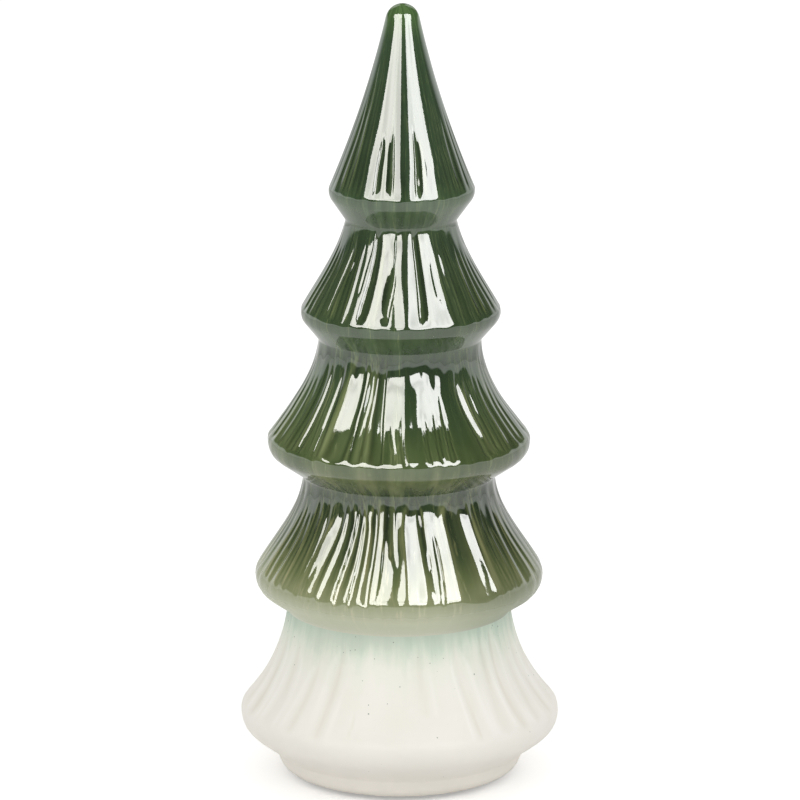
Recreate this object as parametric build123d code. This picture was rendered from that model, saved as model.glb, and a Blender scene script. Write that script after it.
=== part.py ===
from build123d import *
import os
from math import acos, atan, atan2, ceil, cos, degrees, radians, sin, tan

# Sizes are in millimetres and angles in degrees.
# Front is -Y, and the origin is on the tree's axis, in the plane that it stands on.

# Felt pads stuck under the foot ring
pad_diameter = 10.0
pad_thickness = 1.5
pad_azimuths = {"front_left": -45.0, "front_right": 45.0, "back_right": 135.0, "back_left": 225.0}

# Foot, unglazed, with a flat ring round a shallow recess and a kiln vent
foot_height = 7.7
foot_top_radius = 48.3
foot_taper_angle = 13.5
foot_edge_round = 6.0
foot_edge_shares = [0.0, 0.33, 0.67, 1.0]
recess_radius = 28.0
recess_depth = 2.0
vent_diameter = 3.5

# Hollow inside of the casting, with flat sides that follow the tiers
wall_thickness = 5.0
base_thickness = 5.0
tip_solid_length = 42.0
hollow_tip_radius = 2.0
hollow_sides = 16
hem_inset_share = 0.2

# Tip of the tree
tip_nose_radius = 6.6
tip_lean_angle = 13.0

# Tier 1, the tip cone: the hem is its rolled lower edge, and below it is the next tier's waist
tier_1_hem_radius = 28.15
tier_1_hem_round = 6.0
tier_1_hem_lean_angle = 23.2
tier_1_face_height = 72.0
tier_1_under_height = 11.4
tier_1_fold_depth = 0.45
tier_1_groove_half_angle = 3.6

# Tier 2
tier_2_waist_radius = 21.3
tier_2_waist_lean_angle = 16.0
tier_2_hem_radius = 38.65
tier_2_hem_round = 5.8
tier_2_hem_lean_angle = 30.0
tier_2_face_height = 35.9
tier_2_under_height = 10.6
tier_2_fold_depth = 0.5
tier_2_groove_half_angle = 3.4

# Tier 3
tier_3_waist_radius = 31.1
tier_3_waist_lean_angle = 7.0
tier_3_hem_radius = 50.65
tier_3_hem_round = 7.7
tier_3_hem_lean_angle = 35.0
tier_3_face_height = 40.4
tier_3_under_height = 13.5
tier_3_fold_depth = 0.6
tier_3_groove_half_angle = 2.6

# Tier 4
tier_4_waist_radius = 37.05
tier_4_waist_lean_angle = 12.0
tier_4_hem_radius = 56.1
tier_4_hem_round = 8.6
tier_4_hem_lean_angle = 34.0
tier_4_face_height = 39.8
tier_4_under_height = 13.0
tier_4_fold_depth = 0.8
tier_4_groove_half_angle = 2.0

# Tier 5, the white skirt over the foot
tier_5_waist_radius = 43.3
tier_5_waist_lean_angle = 7.4
tier_5_hem_radius = 62.7
tier_5_hem_round = 9.4
tier_5_hem_lean_angle = 42.2
tier_5_face_height = 42.4
tier_5_under_height = 15.1
tier_5_fold_depth = 0.5
tier_5_groove_half_angle = 4.0

# Grooves between the draped folds: their places as shares of the half turn from the left side to the
# right side, and their shares of the tier's fold depth. The back half repeats the front half.
tier_1_groove_shares = [0.078, 0.211, 0.267, 0.389, 0.444, 0.583, 0.694, 0.756, 0.822, 0.911]
tier_1_strength_shares = [0.8, 1.0, 1.0, 1.0, 0.9, 1.0, 0.7, 0.9, 0.9, 0.9]
tier_2_groove_shares = [0.039, 0.117, 0.194, 0.272, 0.378, 0.45, 0.578, 0.694, 0.772, 0.856, 0.944]
tier_2_strength_shares = [0.9, 0.9, 0.9, 0.9, 0.9, 1.0, 1.2, 0.8, 0.9, 0.9, 0.9]
tier_3_groove_shares = [
    0.033, 0.106, 0.172, 0.228, 0.283, 0.339, 0.378, 0.419, 0.533, 0.628, 0.672, 0.722, 0.806, 0.878,
    0.956,
]
tier_3_strength_shares = [0.9, 0.9, 0.9, 0.9, 0.8, 0.9, 1.2, 1.0, 1.2, 0.8, 1.1, 1.0, 0.9, 0.9, 0.9]
tier_4_groove_shares = [
    0.056, 0.144, 0.208, 0.264, 0.311, 0.344, 0.394, 0.461, 0.5, 0.558, 0.586, 0.664, 0.708, 0.75,
    0.794, 0.847, 0.933,
]
tier_4_strength_shares = [
    0.9, 1.0, 1.0, 0.9, 0.8, 1.3, 0.9, 0.9, 1.4, 1.3, 1.2, 1.0, 0.9, 1.0, 0.9, 1.0, 1.0,
]
tier_5_groove_shares = [0.067, 0.183, 0.244, 0.333, 0.661, 0.739, 0.794, 0.906]
tier_5_strength_shares = [0.9, 1.0, 0.9, 1.1, 1.0, 0.9, 1.1, 0.9]

# The folds fade in down the face. Those of the upper tiers end above the rolled hem, and those of the
# lower tiers run over it. Each pair is a place along that stretch of the profile and the depth share there.
tip_fold_shares = [(0.25, 0.0), (0.48, 0.05), (0.62, 0.5), (0.74, 0.9), (0.88, 1.0), (1.0, 0.1)]
upper_fold_shares = [(0.12, 0.3), (0.3, 0.7), (0.5, 0.9), (0.7, 1.0), (0.88, 0.9), (1.0, 0.1)]
lower_fold_shares = [(0.12, 0.3), (0.3, 0.6), (0.5, 0.8), (0.7, 0.95), (0.87, 1.0), (1.0, 1.0)]
smooth_hem_shares = [(0.33, 0.0), (0.67, 0.0), (1.0, 0.0)]
folded_hem_shares = [(0.33, 0.85), (0.67, 0.4), (1.0, 0.0)]

# Grooves sway a little to one side on their way down.
groove_sway_angle = 0.5

# Widest flat facet of the round stretches between grooves
facet_angle = 12.0

# Each skirt reaches into the ones above and below it by this much.
seam_overlap = 2.0

# Pull of the face curve's handles, as shares of the straight line between its ends
waist_handle_share = 0.45
hem_handle_share = 0.35

half_turn = 180.0


def polar(radius, azimuth, height):
    """Point at an azimuth counted from the front, positive to the right."""
    return Vector(radius * sin(radians(azimuth)), -radius * cos(radians(azimuth)), height)


def along(angle):
    """Unit vector in the XZ plane, counted from +X towards +Z."""
    return Vector(cos(radians(angle)), 0, sin(radians(angle)))


def downward(lean):
    """Unit vector down a face that leans outwards from the vertical."""
    return Vector(sin(radians(lean)), 0, -cos(radians(lean)))


class Tier:
    """Profile of one tier in the XZ plane: a flaring face, a rolled hem and a straight underside."""

    def __init__(self, top, top_lean, hem_radius, hem_round, hem_lean, hem_height, under_end):
        hem_centre = Vector(hem_radius - hem_round, 0, hem_height)
        face_end = hem_centre + hem_round * along(hem_lean)
        span = (face_end - top).length
        self.face = Bezier(
            top,
            top + waist_handle_share * span * downward(top_lean),
            face_end - hem_handle_share * span * downward(hem_lean),
            face_end,
        )
        # The underside is the tangent from the next waist to the lower outside of the hem.
        reach = under_end - hem_centre
        under_angle = degrees(atan2(reach.Z, reach.X) + acos(hem_round / reach.length))
        under_start = hem_centre + hem_round * along(under_angle)
        hem_middle = hem_centre + hem_round * along((hem_lean + under_angle) / 2)
        self.hem = ThreePointArc(face_end, hem_middle, under_start)
        self.under = Line(under_start, under_end)
        self.hem_inside = hem_centre - Vector(hem_inset_share * hem_round, 0, 0)


class Folds:
    """Grooves of one tier: azimuths, strengths and half width, and the facets of the stretches between them."""

    def __init__(self, depth, half_angle, groove_shares, strength_shares):
        self.depth = depth
        self.half_angle = half_angle
        azimuths = [(share - 0.5) * half_turn for share in groove_shares]
        self.azimuths = azimuths + [azimuth + half_turn for azimuth in azimuths]
        self.strengths = strength_shares + strength_shares
        gaps = [b - a - 2 * half_angle for a, b in zip(azimuths, azimuths[1:] + [azimuths[0] + half_turn])]
        self.facets = [ceil(gap / facet_angle) for gap in gaps + gaps]

    def corners(self, travel):
        """Azimuth and strength at each corner of a level: each groove, its shoulder, and on to the next."""
        places = [azimuth + groove_sway_angle * sin(azimuth) * (travel - 0.5) for azimuth in self.azimuths]
        corners = []
        for index, facets in enumerate(self.facets):
            start = places[index] + self.half_angle
            gap = (places[(index + 1) % len(places)] - self.half_angle - start) % (2 * half_turn)
            corners.append((places[index], self.strengths[index]))
            corners += [(start + gap * step / facets, 0) for step in range(facets + 1)]
        return corners


def folded_ring(point, folds, depth_share, travel):
    """One level of a tier, with flat facets between its corners."""
    return Wire.make_polygon([
        polar(point.X - folds.depth * depth_share * strength, azimuth, point.Z)
        for azimuth, strength in folds.corners(travel)
    ])


def round_ring(point, folds):
    """The tip's top level, where there are no folds: arcs of one circle between the same corners."""
    azimuths = [azimuth for azimuth, _ in folds.corners(0)]
    arcs = []
    for azimuth, next_azimuth in zip(azimuths, azimuths[1:] + azimuths[:1]):
        width = (next_azimuth - azimuth) % (2 * half_turn)
        stops = [azimuth, azimuth + width / 2, azimuth + width]
        arcs.append(ThreePointArc(*[polar(point.X, stop, point.Z) for stop in stops]))
    return Wire(arcs)


def folded_tier(tier, folds, fold_shares, hem_shares, top_ring=None):
    """Skirt of a tier, lofted through level rings from inside the one above, down the face and round the hem."""
    above = tier.face @ 0 - seam_overlap * (tier.face % 0)
    below = tier.under @ 1 + seam_overlap * (tier.under % 1)
    rings = [top_ring or folded_ring(above, folds, 0, 0)]
    rings += [folded_ring(tier.face @ share, folds, depth_share, share) for share, depth_share in fold_shares]
    rings += [folded_ring(tier.hem @ share, folds, depth_share, 1) for share, depth_share in hem_shares]
    rings.append(folded_ring(below, folds, 0, 1))
    return Solid.make_loft(rings, ruled=True)


# Heights, stacked from the standing plane
foot_bottom = pad_thickness
foot_top = foot_bottom + foot_height
tier_5_hem_height = foot_top + tier_5_under_height
tier_5_waist_height = tier_5_hem_height + tier_5_face_height
tier_4_hem_height = tier_5_waist_height + tier_4_under_height
tier_4_waist_height = tier_4_hem_height + tier_4_face_height
tier_3_hem_height = tier_4_waist_height + tier_3_under_height
tier_3_waist_height = tier_3_hem_height + tier_3_face_height
tier_2_hem_height = tier_3_waist_height + tier_2_under_height
tier_2_waist_height = tier_2_hem_height + tier_2_face_height
tier_1_hem_height = tier_2_waist_height + tier_1_under_height
tip_height = tier_1_hem_height + tier_1_face_height

# Profile corners, from the tip down to the foot
nose_centre = Vector(0, 0, tip_height - tip_nose_radius)
tip_face_start = nose_centre + tip_nose_radius * along(tip_lean_angle)
waist_2 = Vector(tier_2_waist_radius, 0, tier_2_waist_height)
waist_3 = Vector(tier_3_waist_radius, 0, tier_3_waist_height)
waist_4 = Vector(tier_4_waist_radius, 0, tier_4_waist_height)
waist_5 = Vector(tier_5_waist_radius, 0, tier_5_waist_height)
foot_corner = Vector(foot_top_radius, 0, foot_top)

# The flat ring under the foot lies between the recess and the rounded edge, with the pads in its middle.
foot_lower_radius = foot_top_radius - foot_height * tan(radians(foot_taper_angle))
foot_edge_sweep = half_turn / 2 - foot_taper_angle
ring_outer_radius = foot_lower_radius - foot_edge_round * tan(radians(foot_edge_sweep) / 2)
pad_circle_radius = (recess_radius + ring_outer_radius) / 2

tier_1 = Tier(tip_face_start, tip_lean_angle, tier_1_hem_radius, tier_1_hem_round,
              tier_1_hem_lean_angle, tier_1_hem_height, waist_2)
tier_2 = Tier(waist_2, tier_2_waist_lean_angle, tier_2_hem_radius, tier_2_hem_round,
              tier_2_hem_lean_angle, tier_2_hem_height, waist_3)
tier_3 = Tier(waist_3, tier_3_waist_lean_angle, tier_3_hem_radius, tier_3_hem_round,
              tier_3_hem_lean_angle, tier_3_hem_height, waist_4)
tier_4 = Tier(waist_4, tier_4_waist_lean_angle, tier_4_hem_radius, tier_4_hem_round,
              tier_4_hem_lean_angle, tier_4_hem_height, waist_5)
tier_5 = Tier(waist_5, tier_5_waist_lean_angle, tier_5_hem_radius, tier_5_hem_round,
              tier_5_hem_lean_angle, tier_5_hem_height, foot_corner)


def nose():
    """Round end of the tip."""
    nose_top = Vector(0, 0, tip_height)
    nose_middle = nose_centre + tip_nose_radius * along((tip_lean_angle + half_turn / 2) / 2)
    nose_base = Vector(0, 0, tip_face_start.Z)
    outline = [
        ThreePointArc(nose_top, nose_middle, tip_face_start),
        Line(tip_face_start, nose_base),
        Line(nose_base, nose_top),
    ]
    return revolve(make_face(outline), Axis.Z)


def foot():
    """Round foot that narrows downwards from inside the skirt, its lower edge rounded off in bands."""
    edge_centre = Vector(ring_outer_radius, 0, foot_bottom + foot_edge_round)
    edge = []
    for share in foot_edge_shares:
        edge.append(edge_centre + foot_edge_round * along(share * foot_edge_sweep - half_turn / 2))
    inside = foot_corner - seam_overlap * downward(-foot_taper_angle)
    outline = Polyline((0, 0, foot_bottom), *edge, inside, (0, 0, inside.Z), close=True)
    return revolve(make_face(outline), Axis.Z)


def hollow_length(bottom, top):
    """One length of the hollow between two corners of its profile, drawn from its wide end."""
    wide, narrow = sorted((bottom, top), key=lambda corner: -corner.X)
    height = top.Z - bottom.Z
    narrowing = (wide.X - narrow.X) * cos(radians(half_turn / hollow_sides))
    level = Plane.XY.offset(wide.Z)
    taper = degrees(atan(narrowing / height))
    upward = extrude(level * RegularPolygon(wide.X, hollow_sides), height, taper=taper)
    return upward if narrow.Z > wide.Z else mirror(upward, about=level)


def hollow():
    """Hollow inside of the casting, a wall's thickness behind the waists and reaching into each hem."""
    wall = Vector(wall_thickness, 0, 0)
    corners = [Vector(foot_top_radius, 0, foot_bottom + recess_depth + base_thickness) - wall]
    for tier, waist in ((tier_5, waist_5), (tier_4, waist_4), (tier_3, waist_3), (tier_2, waist_2)):
        corners += [tier.hem_inside, waist - wall]
    corners += [tier_1.hem_inside, Vector(hollow_tip_radius, 0, tip_height - tip_solid_length)]
    lengths = [hollow_length(bottom, top) for bottom, top in zip(corners, corners[1:])]
    return lengths[0].fuse(*lengths[1:])


def tree_body():
    """The whole casting: tip, folded tiers and foot in one hollow shell."""
    folds_1 = Folds(tier_1_fold_depth, tier_1_groove_half_angle, tier_1_groove_shares, tier_1_strength_shares)
    folds_2 = Folds(tier_2_fold_depth, tier_2_groove_half_angle, tier_2_groove_shares, tier_2_strength_shares)
    folds_3 = Folds(tier_3_fold_depth, tier_3_groove_half_angle, tier_3_groove_shares, tier_3_strength_shares)
    folds_4 = Folds(tier_4_fold_depth, tier_4_groove_half_angle, tier_4_groove_shares, tier_4_strength_shares)
    folds_5 = Folds(tier_5_fold_depth, tier_5_groove_half_angle, tier_5_groove_shares, tier_5_strength_shares)
    skirts = [
        folded_tier(tier_1, folds_1, tip_fold_shares, smooth_hem_shares, round_ring(tip_face_start, folds_1)),
        folded_tier(tier_2, folds_2, upper_fold_shares, smooth_hem_shares),
        folded_tier(tier_3, folds_3, upper_fold_shares, smooth_hem_shares),
        folded_tier(tier_4, folds_4, lower_fold_shares, folded_hem_shares),
        folded_tier(tier_5, folds_5, lower_fold_shares, folded_hem_shares),
    ]
    level = Plane.XY.offset(foot_bottom)
    recess = extrude(level * Circle(recess_radius), recess_depth)
    vent = extrude(level * Circle(vent_diameter / 2), recess_depth + 2 * base_thickness)
    return foot().fuse(*skirts, nose()) - hollow() - recess - vent


def felt_pad(azimuth):
    """Round felt disc between the foot ring and the table."""
    spot = Plane(origin=polar(pad_circle_radius, azimuth, 0))
    return extrude(spot * Circle(pad_diameter / 2), pad_thickness)


os.makedirs("parts", exist_ok=True)
export_step(tree_body(), "parts/tree_body.step")
for corner, azimuth in pad_azimuths.items():
    export_step(felt_pad(azimuth), f"parts/felt_pad_{corner}.step")
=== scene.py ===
# %% [markdown]
# # A ceramic Christmas tree
# The real tree is one slip-cast stoneware shell in five stacked tiers. Its upper four tiers wear a glossy
# green glaze that thins to cream, and the bottom skirt is matt white. It stands on four felt pads.
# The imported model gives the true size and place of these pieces, so everything here is built around that
# frame. Its box is measured before anything is added to it.

# %% Frame
import math
from collections import namedtuple

import bpy
import numpy as np
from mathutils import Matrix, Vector


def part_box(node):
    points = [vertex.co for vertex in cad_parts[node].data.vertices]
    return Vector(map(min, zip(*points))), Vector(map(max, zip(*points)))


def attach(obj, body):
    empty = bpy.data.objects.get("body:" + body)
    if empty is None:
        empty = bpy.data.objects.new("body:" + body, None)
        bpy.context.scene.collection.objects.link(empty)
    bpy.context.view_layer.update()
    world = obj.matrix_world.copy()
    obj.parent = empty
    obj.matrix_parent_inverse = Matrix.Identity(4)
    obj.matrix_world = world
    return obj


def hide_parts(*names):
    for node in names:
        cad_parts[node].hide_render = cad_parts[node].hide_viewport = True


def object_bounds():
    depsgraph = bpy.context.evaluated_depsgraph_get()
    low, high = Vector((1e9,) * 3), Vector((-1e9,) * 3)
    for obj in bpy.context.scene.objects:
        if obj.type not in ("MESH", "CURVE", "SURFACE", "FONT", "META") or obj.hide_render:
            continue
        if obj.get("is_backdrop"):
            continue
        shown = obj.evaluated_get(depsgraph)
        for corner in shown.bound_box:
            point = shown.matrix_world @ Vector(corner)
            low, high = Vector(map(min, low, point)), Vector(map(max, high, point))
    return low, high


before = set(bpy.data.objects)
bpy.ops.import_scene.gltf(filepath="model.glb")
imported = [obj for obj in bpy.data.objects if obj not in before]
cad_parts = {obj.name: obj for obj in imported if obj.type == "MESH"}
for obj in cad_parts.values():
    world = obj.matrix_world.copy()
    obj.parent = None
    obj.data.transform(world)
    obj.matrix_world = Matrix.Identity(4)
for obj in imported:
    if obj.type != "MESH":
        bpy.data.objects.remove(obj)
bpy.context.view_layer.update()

MM = 0.001
body_low, body_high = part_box("tree_body")
scene = bpy.context.scene
scene.view_settings.view_transform = "Standard"

# %% [markdown]
# ## Camera
# A long lens from nearly two metres away keeps the tiers' outlines almost flat, and a camera a little above
# the tree shows the top of each hem and hides its underside. A short lens close by would bend the hems into
# deep bows. Angle, aim and lens were fitted to the outline that the tree has in the picture.

# %% Camera
CAMERA_DISTANCE = 1.8
CAMERA_ELEVATION = math.radians(13.5)
CAMERA_AIM_HEIGHT = 148.5 * MM
CAMERA_LENS = 209.3

back = Vector((0, -math.cos(CAMERA_ELEVATION), math.sin(CAMERA_ELEVATION)))
camera = bpy.data.objects.new("camera", bpy.data.cameras.new("camera"))
camera.data.lens = CAMERA_LENS
camera.location = Vector((0, 0, CAMERA_AIM_HEIGHT)) + CAMERA_DISTANCE * back
camera.rotation_euler = back.to_track_quat("Z", "Y").to_euler()
scene.collection.objects.link(camera)
scene.camera = camera
print("camera at", [round(x, 3) for x in camera.location])

# %% [markdown]
# ## Profile of the casting
# Seen from the side, each tier is a flaring face, a rolled hem and a straight underside that runs back to
# the next waist. The outline could be drawn as one freehand curve, but then no size could be changed alone.
# Here a curve with two handles gives the face, and two arcs give the hem: a tight nip where the face turns
# over, and a wider round below it. The underside is the tangent from the waist to that round, and a small
# hollow round softens the waist. Every row of the mesh is one point of this profile, and it remembers how
# far down its tier it lies, because folds and glaze both follow that.

# %% Profile helpers
Tier = namedtuple("Tier", "hem_radius hem_round hem_lean hem_height top_radius top_height top_lean")
Row = namedtuple("Row", "radius height tier share")
FACE_END, HEM_END, UNDER_END = 1.0, 1.5, 2.0
TOP_HANDLE_SHARE = 0.34
HEM_HANDLE_SHARE = 0.35


def direction(angle):
    """Unit vector in the profile plane, counted from outwards towards up."""
    return np.array([math.cos(math.radians(angle)), math.sin(math.radians(angle))])


def downward(lean):
    """Unit vector down a face that leans outwards from the vertical."""
    return np.array([math.sin(math.radians(lean)), -math.cos(math.radians(lean))])


def face_curve(start, start_lean, end, end_lean, steps):
    """Points down a tier's face, each with its place between 0 and 1, without the first one."""
    span = np.linalg.norm(end - start)
    handle_a = start + TOP_HANDLE_SHARE * span * downward(start_lean)
    handle_b = end - HEM_HANDLE_SHARE * span * downward(end_lean)
    points = []
    for t in np.linspace(0, 1, steps + 1)[1:]:
        u = 1 - t
        point = u**3 * start + 3 * u * u * t * handle_a + 3 * u * t * t * handle_b + t**3 * end
        points.append((t, point))
    return points


def corner_round(corner, before, after, radius, steps):
    """Points of a hollow round in a corner, and its reach; before and after point away from the corner."""
    half = 0.5 * math.acos(float(np.dot(before, after)))
    centre = corner + (before + after) / np.linalg.norm(before + after) * radius / math.sin(half)
    reach = radius / math.tan(half)
    first, last = corner + reach * before - centre, corner + reach * after - centre
    points = []
    for t in np.linspace(0, 1, steps + 1):
        arm = (1 - t) * first + t * last
        points.append(centre + radius * arm / np.linalg.norm(arm))
    return points, reach


# %% Sizes of the tiers
NOSE_RADIUS, NOSE_LEAN = 6.6 * MM, 13.0
SKIRT_HEM_RADIUS = (body_high.y - body_low.y) / 2
SKIRT, FOOT, BASE = 4, 5, 6

nose_centre = np.array([0, body_high.z - NOSE_RADIUS])
nose_end = nose_centre + NOSE_RADIUS * direction(NOSE_LEAN)
tiers = [
    Tier(28.15 * MM, 6.0 * MM, 23.2, 231.3 * MM, nose_end[0], nose_end[1], NOSE_LEAN),
    Tier(38.65 * MM, 5.8 * MM, 30.0, 184.0 * MM, 21.4 * MM, 219.9 * MM, 13.0),
    Tier(51.1 * MM, 7.7 * MM, 39.0, 133.0 * MM, 31.5 * MM, 173.4 * MM, 4.0),
    Tier(56.2 * MM, 8.6 * MM, 32.5, 79.7 * MM, 37.2 * MM, 119.5 * MM, 5.0),
    Tier(SKIRT_HEM_RADIUS, 9.4 * MM, 42.2, 24.3 * MM, 43.5 * MM, 66.7 * MM, 7.0),
]
print("hem radii in mm:", [round(tier.hem_radius / MM, 1) for tier in tiers])

# %% Rows of one tier
HEM_NIP_ANGLE = 10.0
HEM_NIP_SHARES = (0.55, 0.55, 0.55, 0.9, 0.7)
WAIST_ROUND = 1.3 * MM
WAIST_ROOM_SHARE = 1.3
FACE_ROWS = (24, 16, 19, 22, 15)
HEM_ROWS, UNDER_ROWS, ROUND_ROWS = 8, 3, 2


def hem_centre(tier):
    """Middle of a hem's wider round."""
    return np.array([tier.hem_radius - tier.hem_round, tier.hem_height])


def hem_point(tier, nip_share, angle):
    """Point of a hem: on the tight nip above the nip angle, and on the wider round below it."""
    if angle <= HEM_NIP_ANGLE:
        return hem_centre(tier) + tier.hem_round * direction(angle)
    nip_round = nip_share * tier.hem_round
    nip_centre = hem_centre(tier) + (tier.hem_round - nip_round) * direction(HEM_NIP_ANGLE)
    return nip_centre + nip_round * direction(angle)


def underside_angle(tier, waist):
    """Angle at which a straight line from the waist touches the hem."""
    arm = waist - hem_centre(tier)
    return math.degrees(math.atan2(arm[1], arm[0]) + math.acos(tier.hem_round / np.linalg.norm(arm)))


def tier_rows(number, waist, waist_lean, taken):
    """Rows down to the next waist, and that waist round's reach; taken is the reach of the one above."""
    tier, nip_share = tiers[number], HEM_NIP_SHARES[number]
    start = np.array([tier.top_radius, tier.top_height])
    face_end = hem_point(tier, nip_share, tier.hem_lean)
    made = []
    for t, point in face_curve(start, tier.top_lean, face_end, tier.hem_lean, FACE_ROWS[number]):
        if np.linalg.norm(point - start) > WAIST_ROOM_SHARE * taken:
            made.append(Row(*point, number, FACE_END * t))
    last_angle = underside_angle(tier, waist)
    for t in np.linspace(0, 1, HEM_ROWS + 1)[1:]:
        point = hem_point(tier, nip_share, tier.hem_lean + t * (last_angle - tier.hem_lean))
        made.append(Row(*point, number, FACE_END + t * (HEM_END - FACE_END)))
    under_start = hem_point(tier, nip_share, last_angle)
    uphill = (under_start - waist) / np.linalg.norm(under_start - waist)
    hollow, reach = corner_round(waist, uphill, downward(waist_lean), WAIST_ROUND, ROUND_ROWS)
    for t in np.linspace(0, 1, UNDER_ROWS + 1)[1:-1]:
        point = under_start + t * (hollow[0] - under_start)
        made.append(Row(*point, number, HEM_END + t * (UNDER_END - HEM_END)))
    made += [Row(*point, number, UNDER_END) for point in hollow]
    return made, reach


# %% Rows from the nose to the foot
FOOT_TOP_RADIUS, FOOT_TOP_HEIGHT = 48.3 * MM, 9.2 * MM
FOOT_TAPER = 13.5
NOSE_ROWS = 7

rows = []
for angle in np.linspace(90, NOSE_LEAN, NOSE_ROWS + 1)[1:]:
    rows.append(Row(*(nose_centre + NOSE_RADIUS * direction(angle)), 0, 0.0))
waists = [(np.array([tier.top_radius, tier.top_height]), tier.top_lean) for tier in tiers[1:]]
waists.append((np.array([FOOT_TOP_RADIUS, FOOT_TOP_HEIGHT]), -FOOT_TAPER))
taken = 0.0
for number, (waist, waist_lean) in enumerate(waists):
    made, taken = tier_rows(number, waist, waist_lean, taken)
    rows += made
print(len(rows), "rows from the nose to the foot")

# %% Rows of the foot and its underside
FOOT_EDGE_ROUND = 6.0 * MM
RECESS_RADIUS, RECESS_DEPTH = 28.0 * MM, 2.0 * MM
VENT_RADIUS, VENT_DEPTH = 1.75 * MM, 4.0 * MM
EDGE_ROWS = 5

foot_bottom = body_low.z
side = downward(-FOOT_TAPER)
edge_sweep = 90 - FOOT_TAPER
foot_low_radius = FOOT_TOP_RADIUS + side[0] * (FOOT_TOP_HEIGHT - foot_bottom) / -side[1]
ring_outer = foot_low_radius - FOOT_EDGE_ROUND * math.tan(math.radians(edge_sweep) / 2)
edge_centre = np.array([ring_outer, foot_bottom + FOOT_EDGE_ROUND])
for t in np.linspace(0, 1, EDGE_ROWS + 1):
    angle = -FOOT_TAPER - t * edge_sweep
    rows.append(Row(*(edge_centre + FOOT_EDGE_ROUND * direction(angle)), FOOT, t))
recess_top = foot_bottom + RECESS_DEPTH
for radius, height in (
    ((ring_outer + RECESS_RADIUS) / 2, foot_bottom),
    (RECESS_RADIUS, foot_bottom),
    (RECESS_RADIUS, recess_top),
    (RECESS_RADIUS / 2, recess_top),
    (VENT_RADIUS, recess_top),
    (VENT_RADIUS, recess_top + VENT_DEPTH),
):
    rows.append(Row(radius, height, BASE, 1.0))
print(len(rows), "rows from the nose to the vent")

# %% [markdown]
# ## Folds
# Long tapering flutes were scooped into each tier before firing. A flute has a pointed upper end, a round
# lower end, a hollow bottom and two flanks, and no two are alike. They could be sculpted by hand, but a
# table can be read and changed. It gives each flute the azimuth of its bottom in degrees from the front, the
# widths of its left and right flanks in degrees, its depth in millimetres, the stretch of the tier that it
# covers and its lean. A start that is larger than the end turns a flute upside down. A narrow flank beside a
# broad one catches the light on one side, as the real ones do. The back repeats the front's flutes.

# %% Flutes of the two upper tiers
Flute = namedtuple(
    "Flute", "azimuth left right depth start end lean", defaults=(2.6, 2.6, 0.3, 0.1, 1.0, 0.0))

first_tier_flutes = [
    Flute(-84), Flute(-74, 4, 3, 0.35, 0.3), Flute(-62, 4, 4, 0.3, 0.3), Flute(-52, 4, 4, 0.32, 0.2),
    Flute(-42, 4, 5, 0.16, 0.15, 1.02), Flute(-23, 1.3, 6.2, 0.72, 0.66, 0.99, -1.0),
    Flute(-8.5, 6.2, 1.1, 0.62, 0.64, 0.98), Flute(12.5, 1.1, 6.8, 0.72, 0.64, 0.98),
    Flute(24, 2.5, 2.5, 0.15, 0.74, 0.92), Flute(46, 4, 4, 0.22, 0.4), Flute(58, 4, 4, 0.35, 0.4),
    Flute(70, 4, 3, 0.35, 0.4), Flute(81, 3, 3, 0.3, 0.35),
]
second_tier_flutes = [
    Flute(-85), Flute(-76, 3, 3, 0.35, 0.15), Flute(-69), Flute(-62, 3, 3.5, 0.4),
    Flute(-55, 3, 3, 0.3, 0.2), Flute(-49, 1.5, 3.5, 0.38), Flute(-41, 3, 3, 0.22, 0.15),
    Flute(-34, 3, 3, 0.12), Flute(-29, 0.8, 1.6, 0.2, 0.1, 0.66, -4.0),
    Flute(-25.5, 1.0, 7.5, 0.85, -0.15, 0.99, -1.0), Flute(-6, 8.0, 1.0, 0.75, 0.38, 0.99, -3.0),
    Flute(-4.5, 0.6, 5.0, 0.13, -0.2, 0.95), Flute(11.5, 1.0, 6.0, 0.66, -0.25, 0.99, 1.0),
    Flute(27, 3, 3, 0.15, 0.2, 0.8), Flute(35, 3, 3.5, 0.15), Flute(43, 3, 3, 0.22, 0.1),
    Flute(49, 2.6, 2.6, 0.3, 0.2), Flute(57, 3.5, 3, 0.42), Flute(64), Flute(72, 3, 3, 0.35),
    Flute(80, 3, 3, 0.3, 0.15), Flute(88),
]
print("flutes on the front half:", len(first_tier_flutes), len(second_tier_flutes))

# %% Flutes of the third and fourth tiers
third_tier_flutes = [
    Flute(-86), Flute(-78, 3, 3, 0.45), Flute(-71), Flute(-64, 3, 3, 0.5),
    Flute(-58, 2.5, 2.5, 0.4, 0.1, 1.08), Flute(-52, 1.6, 2.6, 0.55, 0.1, 1.05),
    Flute(-46.5, 2, 2, 0.35, 0.3), Flute(-41, 1.5, 3.0, 0.5, 0.0, 1.1, -2.0),
    Flute(-26, 9, 3, 0.8, -0.1, 1.1, -3.0), Flute(-18.5, 3.3, 3.6, 0.82, -0.1, 1.1, -2.0),
    Flute(-9.0, 5.8, 1.4, 0.78, -0.1, 1.08, -1.0), Flute(-2.5, 1.2, 1.0, 0.25, 0.62, 1.05),
    Flute(2.5, 1.4, 1.2, 0.3, 0.55, 1.12), Flute(14, 1.0, 1.4, 0.3, 0.55, 1.08),
    Flute(20, 1.3, 1.6, 0.4, 0.5, 1.1), Flute(25.5, 1.5, 1.6, 0.4, 0.4, 1.08),
    Flute(42, 2.4, 3.0, 0.7, 0.2, 1.08, 3.0), Flute(49, 2.4, 2.4, 0.4),
    Flute(55, 2.5, 2, 0.5, 0.1, 1.08), Flute(61, 2.6, 2.6, 0.4, 0.2), Flute(68, 3, 2.5, 0.5),
    Flute(76, 3, 3, 0.4), Flute(84),
]
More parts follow.
